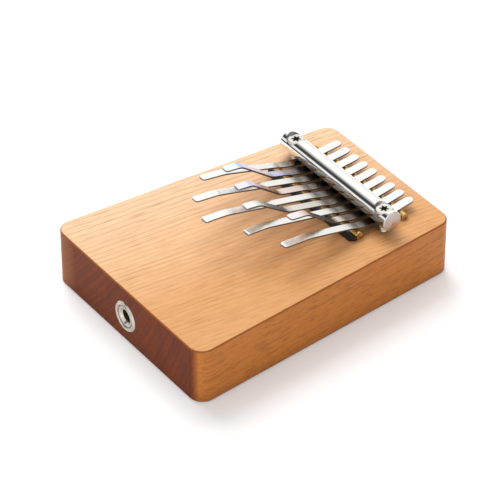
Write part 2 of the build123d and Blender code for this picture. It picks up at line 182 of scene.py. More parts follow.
# Lengths and places in the wood are in millimetres, as Shader.place gives them.
GRAIN_TURN = radians(6)
PITH_X, PITH_Z = -95.0, 80.0
RING_WIDTH = 2.5
SIDE_RING_RATE = 0.45
WARP = 3.5
RIPPLE = 0.9
# Where the wood gets painted light and shade, in millimetres along X: a painted sheen on the top towards -X,
# painted shade on the top towards +X and painted light on the end faces towards -X.
PAINTED_SHEEN_SIDE = (-55.0, 30.0)
PAINTED_SHADE_SIDE = (-5.0, 45.0)
PAINTED_LIGHT_END = (-54.0, -32.0)
CHERRY = {
    "plain": (0.74, 0.36, 0.133),
    "bright fibre": (0.88, 0.47, 0.193),
    "streak": (0.6, 0.26, 0.085),
    "cloud": (0.76, 0.35, 0.12),
    "fleck": (0.9, 0.56, 0.3),
    # Colour of the painted sheen on the top towards -X.
    "painted sheen": (0.94, 0.74, 0.52),
    # Colour of the painted shade of the bar and tines on the top towards +X.
    "painted shade": (0.72, 0.33, 0.11),
    "late wood": (0.42, 0.155, 0.045),
    "pore": (0.4, 0.15, 0.045),
    "upright streak": (0.4, 0.15, 0.05),
    "corner line": (0.33, 0.09, 0.011),
    # Colour of the painted shade in crevices.
    "crevice": (0.13, 0.045, 0.014),
    "end smoke": (0.14, 0.036, 0.018),
    "end band": (0.12, 0.03, 0.015),
    "end ring": (0.1, 0.025, 0.012),
    # Colour of the painted light on the end faces near the -X corner.
    "painted light end": (0.56, 0.25, 0.105),
}
# The sides are darkened as painted shade.
SIDE_PAINTED_SHADE = (0.78, 0.52, 0.17)
# The ends are darker end grain, darkened further as painted shade.
END_GRAIN_AND_SHADE = (0.39, 0.245, 0.5)


def ring_radius(wood, x, z, grain):
    """Distance from the pith in millimetres, made uneven. On the long sides it follows the height
    instead, so that the rings show there as lines along the block."""
    from_pith = [wood.math("SUBTRACT", x, PITH_X), wood.math("SUBTRACT", z, PITH_Z)]
    squares = [wood.math("POWER", distance, 2.0) for distance in from_pith]
    radius = wood.math("SQRT", wood.math("ADD", *squares))
    side = wood.range(wood.math("ABSOLUTE", wood.facing((1, 0, 0))), 0.6, 0.8)
    across_side = wood.math("SUBTRACT", wood.math("MULTIPLY", z, SIDE_RING_RATE), radius)
    radius = wood.math("ADD", radius, wood.math("MULTIPLY", side, across_side))
    warp = wood.noise(grain(0.02, 0.005), 1.0, detail=2)
    ripple = wood.noise(grain(0.16, 0.005), 1.0, detail=2)
    radius = wood.math("ADD", radius, wood.range(warp, 0.0, 1.0, -WARP, WARP))
    return wood.math("ADD", radius, wood.range(ripple, 0.0, 1.0, -RIPPLE, RIPPLE))


def late_wood(wood, radius, grain):
    """The thin dark edge of each growth ring, from 0 to 1, stronger in some places than in others."""
    rings = wood.math("FRACT", wood.math("DIVIDE", radius, RING_WIDTH))
    late = wood.math("POWER", wood.range(rings, 0.2, 0.92), 6.0)
    late = wood.math("MULTIPLY", late, wood.range(rings, 0.92, 1.0, 1.0, 0.0))
    strength = wood.noise(grain(0.12, 0.01, (9, 4, 2)), 1.0)
    return wood.math("MULTIPLY", late, wood.range(strength, 0.35, 0.65, 0.15, 1.0))


def end_grain(wood, base, x, radius, late):
    """The end faces, darker as end grain and as painted shade: smoky, banded along the rings, with painted light
    near the -X corner.
    """
    smoke = wood.noise(wood.place(scale=(0.1, 0.02, 0.045), offset=(3, 1, 6)), 1.0, detail=3)
    inputs = {"W": wood.math("MULTIPLY", radius, 0.35), "Scale": 1.0, "Detail": 2.0}
    bands = wood.node("TexNoise", inputs, noise_dimensions="1D").outputs["Fac"]
    # Darker end grain, darkened further as painted shade.
    color = wood.mix(1.0, base, END_GRAIN_AND_SHADE, "MULTIPLY")
    color = wood.mix(wood.range(smoke, 0.4, 0.62, 0.0, 0.45), color, CHERRY["end smoke"])
    color = wood.mix(wood.range(bands, 0.45, 0.62, 0.0, 0.45), color, CHERRY["end band"])
    color = wood.mix(wood.math("MULTIPLY", late, 0.5), color, CHERRY["end ring"])
    # Painted light on the end faces near the -X corner.
    return wood.mix(wood.range(x, *PAINTED_LIGHT_END, 0.9, 0.0), color, CHERRY["painted light end"])


def wood_material():
    """Oiled cherry. Growth rings show as fine dark lines on the top and sides and as slanting bands
    on the ends, and the grain runs a few degrees off the block's axis. The sides get a darker base
    colour as painted shade and the ends one that is darker end grain and painted shade, the top has
    a painted sheen towards -X and painted shade towards +X, and crevices get painted shade."""
    wood = Shader("cherry", (0.84, 0.5, 0.26), 0.0, 0.42)

    def grain(across, along, offset=(0, 0, 0)):
        return wood.place(scale=(across, along, across), offset=offset, turn=GRAIN_TURN)

    x, _, z = wood.axes(grain(1, 1))
    radius = ring_radius(wood, x, z, grain)
    late = late_wood(wood, radius, grain)
    fibre = wood.noise(grain(2.0, 0.05), 1.0, detail=4, roughness=0.6)
    streaks = wood.noise(grain(0.8, 0.014, (2, 8, 5)), 1.0, detail=3, roughness=0.6)
    pores = wood.range(wood.noise(grain(1.9, 0.08), 1.0, detail=1), 0.58, 0.7)
    fleck = wood.noise(grain(0.24, 0.11, (4, 7, 1)), 1.0, detail=3, roughness=0.55)
    cloud = wood.noise(grain(0.03, 0.012, (5, 5, 0)), 1.0, detail=3)

    level = wood.math("ABSOLUTE", wood.facing((0, 0, 1)))
    upright = wood.range(level, 0.5, 0.95, 1.0, 0.0)
    end = wood.range(wood.math("ABSOLUTE", wood.facing((0, 1, 0))), 0.75, 0.995)
    corner = wood.math("MULTIPLY", wood.range(level, 0.04, 0.25), wood.range(level, 0.99, 0.9))
    # Painted sheen: the top lightens towards -X.
    painted_sheen = wood.math("MULTIPLY", wood.range(x, *PAINTED_SHEEN_SIDE, 0.6, 0.0), level)

    base = wood.mix(wood.range(fibre, 0.33, 0.67), CHERRY["plain"], CHERRY["bright fibre"])
    base = wood.mix(wood.range(streaks, 0.42, 0.66, 0.0, 0.3), base, CHERRY["streak"])
    base = wood.mix(wood.range(cloud, 0.35, 0.65, 0.0, 0.3), base, CHERRY["cloud"])
    base = wood.mix(wood.range(fleck, 0.4, 0.62, 0.0, 0.24), base, CHERRY["fleck"])
    # Painted sheen on the top towards -X.
    base = wood.mix(painted_sheen, base, CHERRY["painted sheen"])
    # Painted shade on the top towards +X, where the bar and tines cast shadows.
    base = wood.mix(wood.range(x, *PAINTED_SHADE_SIDE, 0.0, 0.45), base, CHERRY["painted shade"])
    base = wood.mix(wood.math("MULTIPLY", late, 0.52), base, CHERRY["late wood"])
    base = wood.mix(wood.math("MULTIPLY", pores, 0.4), base, CHERRY["pore"])
    dark_streaks = wood.math("MULTIPLY", upright, wood.range(streaks, 0.5, 0.68, 0.0, 0.45))
    base = wood.mix(dark_streaks, base, CHERRY["upright streak"])
    # Painted shade: the sides get a darker base colour.
    base = wood.mix(upright, base, wood.mix(1.0, base, SIDE_PAINTED_SHADE, "MULTIPLY"))
    base = wood.mix(end, base, end_grain(wood, base, x, radius, late))
    base = wood.mix(wood.math("MULTIPLY", corner, 0.9), base, CHERRY["corner line"])
    # Painted shade in crevices and under the tines, rods and bar, from how open the surroundings are.
    shade = wood.range(wood.openness(11 * MM), 0.2, 0.8, 0.7, 0.0)
    wood.color(wood.mix(shade, base, CHERRY["crevice"]))
    wood.rough(wood.range(fibre, 0.3, 0.7, 0.38, 0.5))
    wood.bump(fibre, 0.02 * MM)
    wood.bump(wood.math("MULTIPLY", wood.math("ADD", pores, late), -1.0), 0.012 * MM)
    wood.set(wood.surface, {"Specular IOR Level": wood.range(end, 0.0, 1.0, 0.4, 0.08)})
    return wood.material


def metal_material(name, color, roughness, scratch=(1, 1, 1), wear=0.12, relief=0.0015):
    """Plated or drawn metal with fine scratches: scratch gives how they stretch along X, Y and Z."""
    metal = Shader(name, color, 1.0, roughness)
    scratches = metal.noise(metal.place(scale=scratch), 5.0, detail=3, roughness=0.6)
    smudges = metal.noise(metal.place(), 0.12, detail=3)
    metal.rough(metal.math("ADD", metal.range(scratches, 0.3, 0.7, roughness * 0.8, roughness * 1.2),
                           metal.range(smudges, 0.4, 0.75, 0.0, wear * 0.5)))
    darker = tuple(value * (1 - wear) for value in color)
    metal.color(metal.mix(metal.range(smudges, 0.35, 0.7), color, darker))
    metal.bump(scratches, relief * MM)
    return metal.material


def turned_metal(name, color, round_roughness, face_color, face_roughness, centre, axis="X"):
    """Polished round metal whose end faces keep the circular marks of the lathe."""
    metal = Shader(name, color, 1.0, round_roughness)
    across = {"X": (1, 0, 0), "Y": (0, 1, 0), "Z": (0, 0, 1)}[axis]
    face = metal.range(metal.math("ABSOLUTE", metal.facing(across)), 0.9, 0.98)
    smudges = metal.noise(metal.place(), 0.15, detail=3)
    hairlines = metal.noise(metal.place(scale=(0.15, 1, 1)), 3.0, detail=2)
    others = [value for value, share in zip(metal.axes(metal.place()), across) if not share]
    middles = [value / MM for value, share in zip(centre, across) if not share]
    squares = [metal.math("POWER", metal.math("SUBTRACT", value, middle), 2.0)
               for value, middle in zip(others, middles)]
    radius = metal.math("SQRT", metal.math("ADD", *squares))
    turned = metal.node("TexNoise", {"W": metal.math("MULTIPLY", radius, 3.5), "Scale": 1.0, "Detail": 2.0},
                        noise_dimensions="1D").outputs["Fac"]
    metal.color(metal.mix(face, color, face_color))
    polished = metal.range(smudges, 0.3, 0.7, round_roughness * 0.7, round_roughness * 1.5)
    metal.rough(metal.math("ADD", polished, metal.math("MULTIPLY", face, face_roughness)))
    metal.bump(metal.math("MULTIPLY", turned, face), 0.003 * MM)
    metal.bump(hairlines, 0.0002 * MM)
    tangent = metal.node("Tangent", direction_type="RADIAL", axis=axis).outputs["Tangent"]
    metal.set(metal.surface, {"Anisotropic": metal.math("MULTIPLY", face, 0.85), "Tangent": tangent})
    return metal.material


def plastic_material(name, color, roughness, grain=0.01):
    """Moulded plastic with a fine texture and faint handling marks."""
    plastic = Shader(name, color, 0.0, roughness)
    texture = plastic.noise(plastic.place(), 3.0, detail=3)
    marks = plastic.noise(plastic.place(), 0.15, detail=4)
    plastic.rough(plastic.range(marks, 0.3, 0.7, roughness * 0.85, roughness * 1.2))
    lighter = tuple(value * 1.3 + 0.004 for value in color)
    plastic.color(plastic.mix(plastic.range(marks, 0.35, 0.7, 0.0, 0.6), color, lighter))
    plastic.bump(texture, grain * MM)
    return plastic.material


def tine_material(number, stops):
    """Brushed spring steel with darker sheared edges. In its UV, U runs across the strip and V from
    the tail at 0 over the front rod at a half to the tip at 1."""
    steel = Shader(f"spring_steel_{number}", STEEL, 1.0, 0.3)
    place = steel.node("UVMap", uv_map="strip").outputs["UV"]
    across, along = steel.axes(place)[:2]
    brushing = steel.node("TexNoise", {"W": steel.math("MULTIPLY", across, 4.0), "Scale": 1.0, "Detail": 2.0},
                          noise_dimensions="1D").outputs["Fac"]
    streaks = steel.node("Mapping", {"Vector": place, "Scale": (5, 3, 1), "Location": (number, 0, 0)})
    grain = steel.noise(streaks.outputs["Vector"], 1.0, detail=3)
    patches = steel.noise(steel.place(offset=(number * 7, 0, 0)), 0.16, detail=2)
    tint = steel.ramp(along, stops)
    tint = steel.mix(steel.range(grain, 0.35, 0.65, 0.0, 0.3), tint,
                     steel.mix(1.0, tint, (0.92, 0.91, 0.89), "MULTIPLY"))
    tint = steel.mix(steel.range(patches, 0.45, 0.7, 0.0, 0.25), tint,
                     steel.mix(1.0, tint, (0.9, 0.87, 0.8), "MULTIPLY"))
    edge = steel.range(steel.math("ABSOLUTE", steel.facing((0, 0, 1))), 0.35, 0.6, 1.0, 0.0)
    steel.color(steel.mix(edge, tint, SHEARED_EDGE))
    polish = steel.range(grain, 0.3, 0.7, 0.2, 0.27)
    steel.rough(steel.math("ADD", polish, steel.math("MULTIPLY", edge, 0.3)))
    steel.bump(brushing, 0.0007 * MM)
    return steel.material


def paint(node, material):
    """Gives every slot of a CAD node one material."""
    mesh = NODES[node].data
    if not mesh.materials:
        mesh.materials.append(material)
    for index in range(len(mesh.materials)):
        mesh.materials[index] = material


# ---- mesh helpers -------------------------------------------------------------------------
def link(name, mesh, material):
    mesh.materials.append(material)
    piece = bpy.data.objects.new(name, mesh)
    bpy.context.scene.collection.objects.link(piece)
    return piece


def smooth(piece):
    """Smooth shading that keeps large faces flat."""
    for polygon in piece.data.polygons:
        polygon.use_smooth = True
    piece.modifiers.new("flat faces stay flat", "WEIGHTED_NORMAL").keep_sharp = True


def closed_mesh(name, rings, material, tube=False):
    """A closed mesh through rings of equal length; a tube's last ring meets its first one."""
    mesh = bmesh.new()
    made = [[mesh.verts.new(point) for point in ring] for ring in rings]
    count = len(rings[0])
    pairs = list(zip(made, made[1:] + made[:1])) if tube else list(zip(made, made[1:]))
    for lower, upper in pairs:
        for i in range(count):
            j = (i + 1) % count
            mesh.faces.new((lower[i], lower[j], upper[j], upper[i]))
    if not tube:
        mesh.faces.new(made[0][::-1])
        mesh.faces.new(made[-1])
    bmesh.ops.recalc_face_normals(mesh, faces=mesh.faces)
    data = bpy.data.meshes.new(name)
    mesh.to_mesh(data)
    mesh.free()
    return link(name, data, material)


def rounded(profile, size, steps=4, closed=False):
    """A profile of (along, radius) points with its corners softened over a short length."""
    count = len(profile)
    points = [Vector(point) for point in profile]
    made = []
    for i, point in enumerate(points):
        if not closed and i in (0, count - 1):
            made.append(tuple(point))
            continue
        before, after = points[i - 1] - point, points[(i + 1) % count] - point
        start = point + before.normalized() * min(size, before.length * 0.45)
        end = point + after.normalized() * min(size, after.length * 0.45)
        for step in range(steps + 1):
            share = step / steps
            made.append(tuple((1 - share) ** 2 * start + 2 * share * (1 - share) * point + share ** 2 * end))
    return made


def lathe(name, profile, base, axis, material, count=128, tube=False, ripple=None):
    """Turns a profile of (along, radius) about an axis; ripple(turn, along, radius) alters radii."""
    axis = Vector(axis).normalized()
    first = axis.orthogonal().normalized()
    second = axis.cross(first)
    rings = []
    for along, radius in profile:
        ring = []
        for i in range(count):
            turn = tau * i / count
            reach = ripple(turn, along, radius) if ripple else radius
            ring.append(Vector(base) + axis * along + (first * cos(turn) + second * sin(turn)) * reach)
        rings.append(ring)
    piece = closed_mesh(name, rings, material, tube)
    smooth(piece)
    return piece


# ---- tines --------------------------------------------------------------------------------
STATION_STEP = 0.5 * MM
EDGE_ROUNDING = 0.16 * MM
TIP_CORNER = 1.5 * MM
ROUND_STEPS = 8
EDGE_STEPS = 3
STRIP_LOW, STRIP_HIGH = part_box("tine_5_root")
HALF_WIDTH = (STRIP_HIGH.x - STRIP_LOW.x) / 2
THICKNESS = 0.8 * MM
BEND_REACH = 8 * MM
LIGHT_RELAXING, STRONG_RELAXING = 4, 24


class Strip:
    """A tine's path, read from the CAD solids of its clamped root and free tongue. Its facets are
    evened out, and more so near the front rod, over which the steel bends in one soft curve."""

    def __init__(self, number):
        nodes = [NODES[f"tine_{number}_root"], NODES[f"tine_{number}_tongue"]]
        self.pivot = Vector(JOINTS[f"tine_{number}_pluck"]["pos_m"])
        self.along = -Vector(JOINTS[f"tine_{number}_tune"]["axis"])
        self.across = self.along.cross(UP)
        corners = [vertex.co for node in nodes for vertex in node.data.vertices]
        reach = [(corner - self.pivot).dot(self.along) for corner in corners]
        self.tail, self.tip = min(reach), max(reach)
        trees = [self.tree(node) for node in nodes]
        steps = int((self.tip - self.tail) / STATION_STEP)
        places = np.linspace(self.tail, self.tip, steps)
        heights = np.array([self.top(trees, place) for place in places])
        found = ~np.isnan(heights)
        heights = np.interp(places, places[found], heights[found])
        faired, bent = (self.relax(heights, passes) for passes in (LIGHT_RELAXING, STRONG_RELAXING))
        near_rod = np.clip(2 - np.abs(places) / BEND_REACH, 0, 1)
        self.places, self.heights = places, faired + (bent - faired) * near_rod
        self.slopes = np.gradient(self.heights, self.places)

    @staticmethod
    def tree(node):
        mesh = node.data
        return BVHTree.FromPolygons([v.co for v in mesh.vertices], [p.vertices for p in mesh.polygons])

    def top(self, trees, place):
        start = self.pivot + self.along * place + UP
        hits = [tree.ray_cast(start, -UP)[0] for tree in trees]
        heights = [hit.z for hit in hits if hit is not None]
        return max(heights) if heights else np.nan

    @staticmethod
    def relax(heights, passes):
        """Evens out heights along the strip; the ends stay where they are."""
        smoothed = heights.copy()
        for _ in range(passes):
            smoothed[1:-1] = (smoothed[:-2] + 2 * smoothed[1:-1] + smoothed[2:]) / 4
        return smoothed

    def point(self, place, sideways, depth):
        """A point on or in the strip: depth is measured square to its top surface."""
        height = np.interp(place, self.places, self.heights)
        slope = np.interp(place, self.places, self.slopes)
        level = self.pivot + self.along * place + self.across * sideways
        square = (UP - self.along * slope).normalized()
        return Vector((level.x, level.y, height)) - square * depth


def strip_outline(strip, inset):
    """Half of the strip's plan outline as (place, sideways), from the tip round to the tail."""
    half = HALF_WIDTH - inset
    corner = TIP_CORNER - inset
    start, end = strip.tip - TIP_CORNER, strip.tail + HALF_WIDTH
    points = []
    for step in range(ROUND_STEPS + 1):
        turn = pi / 2 * step / ROUND_STEPS
        points.append((start + corner * cos(turn), HALF_WIDTH - TIP_CORNER + corner * sin(turn)))
    steps = int((start - end) / STATION_STEP)
    points += [(start + (end - start) * step / steps, half) for step in range(1, steps)]
    for step in range(ROUND_STEPS * 2):
        turn = pi / 2 * step / (ROUND_STEPS * 2)
        points.append((end - half * sin(turn), half * cos(turn)))
    return points


def tine_mesh(number, material):
    """One bent strip with softened edges, a square tip with round corners and a round tail."""
    strip = Strip(number)
    turns = [pi / 2 * step / EDGE_STEPS for step in range(EDGE_STEPS + 1)]
    upper = [(EDGE_ROUNDING * (1 - sin(turn)), EDGE_ROUNDING * (1 - cos(turn))) for turn in turns]
    layers = upper + [(inset, THICKNESS - depth) for inset, depth in upper[::-1]]
    mesh = bmesh.new()
    uv = mesh.loops.layers.uv.new("strip")
    loops, places = [], {}
    for inset, depth in layers:
        half = strip_outline(strip, inset)
        ring = half + [(place, -sideways) for place, sideways in half[::-1]]
        made = []
        for place, sideways in ring:
            vertex = mesh.verts.new(strip.point(place, sideways, depth))
            share = place / strip.tip if place > 0 else -place / strip.tail
            places[vertex] = (sideways / MM, 0.5 + 0.5 * share)
            made.append(vertex)
        loops.append(made)
    count = len(loops[0])
    for lower, higher in zip(loops, loops[1:]):
        for i in range(count):
            j = (i + 1) % count
            mesh.faces.new((lower[i], lower[j], higher[j], higher[i]))
    for ring in (loops[0], loops[-1]):
        for i in range(count // 2 - 1):
            mesh.faces.new((ring[i], ring[i + 1], ring[count - 2 - i], ring[count - 1 - i]))
    bmesh.ops.recalc_face_normals(mesh, faces=mesh.faces)
    for face in mesh.faces:
        for loop in face.loops:
            loop[uv].uv = places[loop.vert]
    data = bpy.data.meshes.new(f"tine_{number}")
    mesh.to_mesh(data)
    mesh.free()
    piece = link(f"tine_{number}", data, material)
    smooth(piece)
    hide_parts(f"tine_{number}_root", f"tine_{number}_tongue")
    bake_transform(piece)


# Places along a tine are its V, from 0 at the tail over a half at the front rod to 1 at the tip.
STEEL = (0.86, 0.84, 0.8)
SHEARED_EDGE = (0.16, 0.13, 0.11)
# Painted shade on the tines for the bar's shadow and dark reflection, from under the bar to the front rod, where
# it fades.
PAINTED_BAR_SHADE = (0.11, 0.092, 0.085)
UNDER_BAR = 0.31
TAIL_FADE = 0.06
PAINTED_SHADE_REACH = 0.08
NEAR_ROD = 0.48
NEAR_ROD_SHADING = 0.8
# Heat tints of the even tines: the share of the way from the front rod to the tip, and the colour.
TINTS = {
    2: [(0.3, (0.72, 0.7, 0.86)), (0.44, (0.62, 0.4, 0.47)), (0.6, (0.62, 0.5, 0.72)),
        (0.74, (0.45, 0.62, 0.8)), (0.84, (0.86, 0.94, 0.98))],
    4: [(0.34, (0.88, 0.76, 0.7)), (0.46, (0.6, 0.36, 0.16)), (0.64, (0.55, 0.36, 0.5)),
        (0.76, (0.6, 0.56, 0.74)), (0.86, (0.88, 0.85, 0.93))],
    6: [(0.4, (0.85, 0.8, 0.72)), (0.5, (0.45, 0.45, 0.43)), (0.68, (0.42, 0.46, 0.42)),
        (0.78, (0.6, 0.68, 0.6)), (0.88, (0.92, 0.92, 0.92))],
    8: [(0.12, (0.8, 0.74, 0.66)), (0.22, (0.42, 0.38, 0.34)), (0.58, (0.5, 0.44, 0.38)),
        (0.7, (0.75, 0.5, 0.38)), (0.84, (0.93, 0.87, 0.87))],
}
PLAIN = [(0.14, (0.95, 0.93, 0.88)), (1.0, (0.96, 0.95, 0.93))]
BRIGHT_TAIL = (0.97, 0.96, 0.92)
TAILS = {2: (0.91, 0.9, 0.97), 4: (0.97, 0.93, 0.89), 5: (0.97, 0.93, 0.89), 8: (0.87, 0.92, 0.98)}


def tine_stops(number):
    """Colours from the tail to the tip: bright behind the bar, painted shade for the bar's shadow and dark
    reflection under it and up to the front rod, then heat tints along the tongue."""
    tail = TAILS.get(number, BRIGHT_TAIL)
    tongue = TINTS.get(number, PLAIN)
    # The painted shade fades out towards the front rod.
    shaded = tuple(value * NEAR_ROD_SHADING for value in tongue[0][1])
    clamped = [(0.0, tail), (UNDER_BAR - TAIL_FADE, tail), (UNDER_BAR, PAINTED_BAR_SHADE),
               (UNDER_BAR + PAINTED_SHADE_REACH, PAINTED_BAR_SHADE), (NEAR_ROD, shaded)]
    return clamped + [(0.5 + 0.5 * share, color) for share, color in tongue]


for tine in TINES:
    tine_mesh(tine, tine_material(tine, tine_stops(tine)))


# ---- turned pieces ------------------------------------------------------------------------
CENTRE = 0.001 * MM
SOFT = 0.25 * MM


def box_middle(node):
    low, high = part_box(node)
    return (low + high) / 2, (high - low) / 2


def round_bar(name, material, edge, count=192):
    """A round bar along X with softened edges, the size of the CAD node of that name."""
    middle, half = box_middle(name)
    profile = [(-half.x, CENTRE), (-half.x, half.y), (half.x, half.y), (half.x, CENTRE)]
    return lathe(name + "_turned", rounded(profile, edge), middle, (1, 0, 0), material, count)


def fit_piece(piece, node, body):
    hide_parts(node)
    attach(piece, body)


def line_hollow(piece, material, base, axis, start, end, radius):
    """Gives the faces of a hollow inside a turned piece their own material."""
    piece.data.materials.append(material)
    axis = Vector(axis)
    for polygon in piece.data.polygons:
        reach = polygon.center - Vector(base)
        along = reach.dot(axis)
        if start < along < end and (reach - axis * along).length < radius:
            polygon.material_index = 1


# ---- pressure bar and screws --------------------------------------------------------------
CHROME = (0.9, 0.9, 0.88)
BAR_END = (0.62, 0.55, 0.52)
BAR_EDGE = 0.4 * MM
SHARP_ANGLE = radians(32)
HEAD_GAP = 0.3 * MM
HEAD_HEIGHT = 4.4 * MM
SHANK_RADIUS = 2.24 * MM
SHANK_HOLE_RADIUS = 2.75 * MM
THREAD_PITCH = 0.8 * MM
THREAD_DEPTH = 0.28 * MM
THREAD_STEPS = 8
KNURLS = 40
KNURL_DEPTH = 0.14 * MM
LOBES = 6
LOBE_MIDDLE_RADIUS = 1.75 * MM
LOBE_SWING = 0.5 * MM
LOBE_DEPTH = 2.4 * MM
LOBE_REACH = 1.3 * LOBE_MIDDLE_RADIUS


def cut(piece, cutter):
    """Cuts one piece's shape out of another and removes the cutter."""
    boolean = piece.modifiers.new("cut", "BOOLEAN")
    boolean.operation = "DIFFERENCE"
    boolean.solver = "EXACT"
    boolean.object = cutter
    bpy.context.view_layer.update()
    evaluated = piece.evaluated_get(bpy.context.evaluated_depsgraph_get())
    data = bpy.data.meshes.new_from_object(evaluated)
    piece.modifiers.clear()
    piece.data = data
    bpy.data.objects.remove(cutter)


def shade_round(piece, middle, radius):
    """Exact normals on a bar's round surface, so that holes don't disturb its reflections."""
    data = piece.data
    data.set_sharp_from_angle(angle=SHARP_ANGLE)
    normals = [Vector(corner.vector) for corner in data.corner_normals]
    for polygon in data.polygons:
        outward = polygon.center - middle
        outward.x = 0
        if polygon.normal.dot(outward.normalized()) > 0.99:
            for loop in polygon.loop_indices:
                spoke = data.vertices[data.loops[loop].vertex_index].co - middle
                spoke.x = 0
                if spoke.length > radius - 0.01 * MM:
                    normals[loop] = spoke.normalized()
    data.normals_split_custom_set(normals)


def make_bar():
    """The chromed bar with a counterbored hole for each screw."""
    chrome = turned_metal("chrome_bar", CHROME, 0.05, BAR_END, 0.3, BAR_MIDDLE)
    bar = round_bar("pressure_bar", chrome, BAR_EDGE, count=256)
    bar.modifiers.clear()
    for side in ("left", "right"):
        middle, half = box_middle(f"pressure_screw_{side}")
        seat = middle.z + half.z - HEAD_HEIGHT
        steps = [(BAR_LOW.z - MM, CENTRE), (BAR_LOW.z - MM, SHANK_HOLE_RADIUS), (seat, SHANK_HOLE_RADIUS),
                 (seat, half.x + HEAD_GAP), (BAR_HIGH.z + MM, half.x + HEAD_GAP), (BAR_HIGH.z + MM, CENTRE)]
        cut(bar, lathe("cutter", steps, (middle.x, middle.y, 0), UP, chrome, count=96))
    shade_round(bar, BAR_MIDDLE, BAR_RADIUS)
    fit_piece(bar, "pressure_bar", "bar")


def make_screw(side, material):
    """Cylinder-head screw: knurled rim, six-lobe recess and a rolled thread."""
    middle, half = box_middle(f"pressure_screw_{side}")
    length = 2 * half.z
    seat = length - HEAD_HEIGHT
    floor = length - LOBE_DEPTH

    def ripple(turn, along, radius):
        if along >= floor - SOFT and radius < LOBE_REACH:
            return radius * (1 + LOBE_SWING / LOBE_MIDDLE_RADIUS * cos(LOBES * turn))
        if seat + SOFT < along < length - 2 * SOFT:
            return radius - KNURL_DEPTH * (0.5 + 0.5 * cos(KNURLS * turn))
        if 2 * SOFT < along < seat and radius > SHANK_RADIUS - SOFT:
            phase = (along / THREAD_PITCH - turn / tau) % 1
            return radius - THREAD_DEPTH * abs(2 * phase - 1)
        return radius

    turns = int(seat / THREAD_PITCH * THREAD_STEPS)
    shank = [(seat * step / turns, SHANK_RADIUS) for step in range(1, turns)]
    head = [(seat, SHANK_RADIUS), (seat, half.x), (seat + 2 * SOFT, half.x), (length - 3 * SOFT, half.x),
            (length, half.x - 2 * SOFT), (length, LOBE_MIDDLE_RADIUS), (floor, LOBE_MIDDLE_RADIUS),
            (floor, CENTRE)]
    profile = [(0, CENTRE), (0, SHANK_RADIUS - SOFT), *shank, *rounded(head, 0.12 * MM, steps=2)]
    base = (middle.x, middle.y, middle.z - half.z)
    screw = lathe(f"pressure_screw_{side}_turned", profile, base, UP, material,
                  count=6 * KNURLS, ripple=ripple)
    # Painted shade in the six-lobe recess.
    line_hollow(screw, HOLLOW_SHADE, base, UP, seat + SOFT, length - 0.1 * MM, LOBE_REACH)
    fit_piece(screw, f"pressure_screw_{side}", f"{side}_screw")


# Painted shade inside the screw recesses and the jack bore.
HOLLOW_SHADE = metal_material("painted_hollow_shade", (0.42, 0.37, 0.24), 0.36)
make_bar()
STEEL_SCREW = metal_material("screw_steel", (0.84, 0.82, 0.78), 0.16)
for screw_side in ("left", "right"):
    make_screw(screw_side, STEEL_SCREW)

# ---- bridge rods --------------------------------------------------------------------------
ROD_BRASS = (0.84, 0.6, 0.22)
# The rods' end faces are darker and redder: a painted reflection of the wood.
ROD_END_WOOD_REFLECTION = (0.55, 0.36, 0.12)

for rod in ("front_bridge_rod", "rear_bridge_rod"):
    brass = turned_metal(rod + "_brass", ROD_BRASS, 0.2, ROD_END_WOOD_REFLECTION, 0.25, box_middle(rod)[0])
    fit_piece(round_bar(rod, brass, SOFT), rod, "block")

# ---- jack ---------------------------------------------------------------------------------
JACK_BORE = MOUNTS["jack_socket"]["dims"]["r_mm"] * MM
JACK_BORE_LENGTH = MOUNTS["jack_socket"]["dims"]["length_mm"] * MM
JACK_MOUTH = 1.2 * MM
JACK_LIP = JACK_BORE + 0.95 * MM
GROOVE = 0.6 * MM
REAR_SEAT = JACK_BORE + 1.25 * MM
JACK_EDGE = 0.15 * MM
JACK_NICKEL = (0.74, 0.69, 0.62)
JACK_FACE = (0.68, 0.63, 0.56)


def make_jack(material):
    """The barrel with its bevelled mouth, and the ring nut round it, both turned about Y."""
    low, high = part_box("jack_barrel")
    middle, half = box_middle("jack_barrel")
    front, length, radius = (middle.x, low.y, middle.z), high.y - low.y, half.x
    bore_end = JACK_MOUTH + JACK_BORE_LENGTH
    barrel = [(JACK_MOUTH, JACK_BORE), (0, JACK_LIP), (0, radius - GROOVE), (1.5 * GROOVE, radius - GROOVE),
              (1.5 * GROOVE, radius), (length, radius), (length, REAR_SEAT), (bore_end, REAR_SEAT),
              (bore_end, JACK_BORE)]
    profile = rounded(barrel, JACK_EDGE, closed=True)
    piece = lathe("jack_barrel_turned", profile, front, (0, 1, 0), material, count=160, tube=True)
    # Painted shade inside the bore.
    line_hollow(piece, HOLLOW_SHADE, front, (0, 1, 0), JACK_MOUTH, length + MM, REAR_SEAT + SOFT)
    fit_piece(piece, "jack_barrel", "block")

    low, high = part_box("jack_front_nut")
    outer, depth = (high.x - low.x) / 2, high.y - low.y
    step = (outer - radius) / 3
    ring = [(0.3 * MM, radius), (0, radius + 0.4 * step), (0, radius + step), (0.3 * MM, radius + 1.3 * step),
            (0.1 * MM, radius + 2.2 * step), (0.7 * MM, outer), (depth, outer), (depth, radius)]
    profile = rounded(ring, JACK_EDGE, closed=True)
    piece = lathe("jack_front_nut_turned", profile, (middle.x, low.y, middle.z), (0, 1, 0), material,
                  count=160, tube=True)
    fit_piece(piece, "jack_front_nut", "block")


JACK_MIDDLE = box_middle("jack_barrel")[0]
make_jack(turned_metal("nickel_front", JACK_NICKEL, 0.2, JACK_FACE, 0.2, JACK_MIDDLE, "Y"))


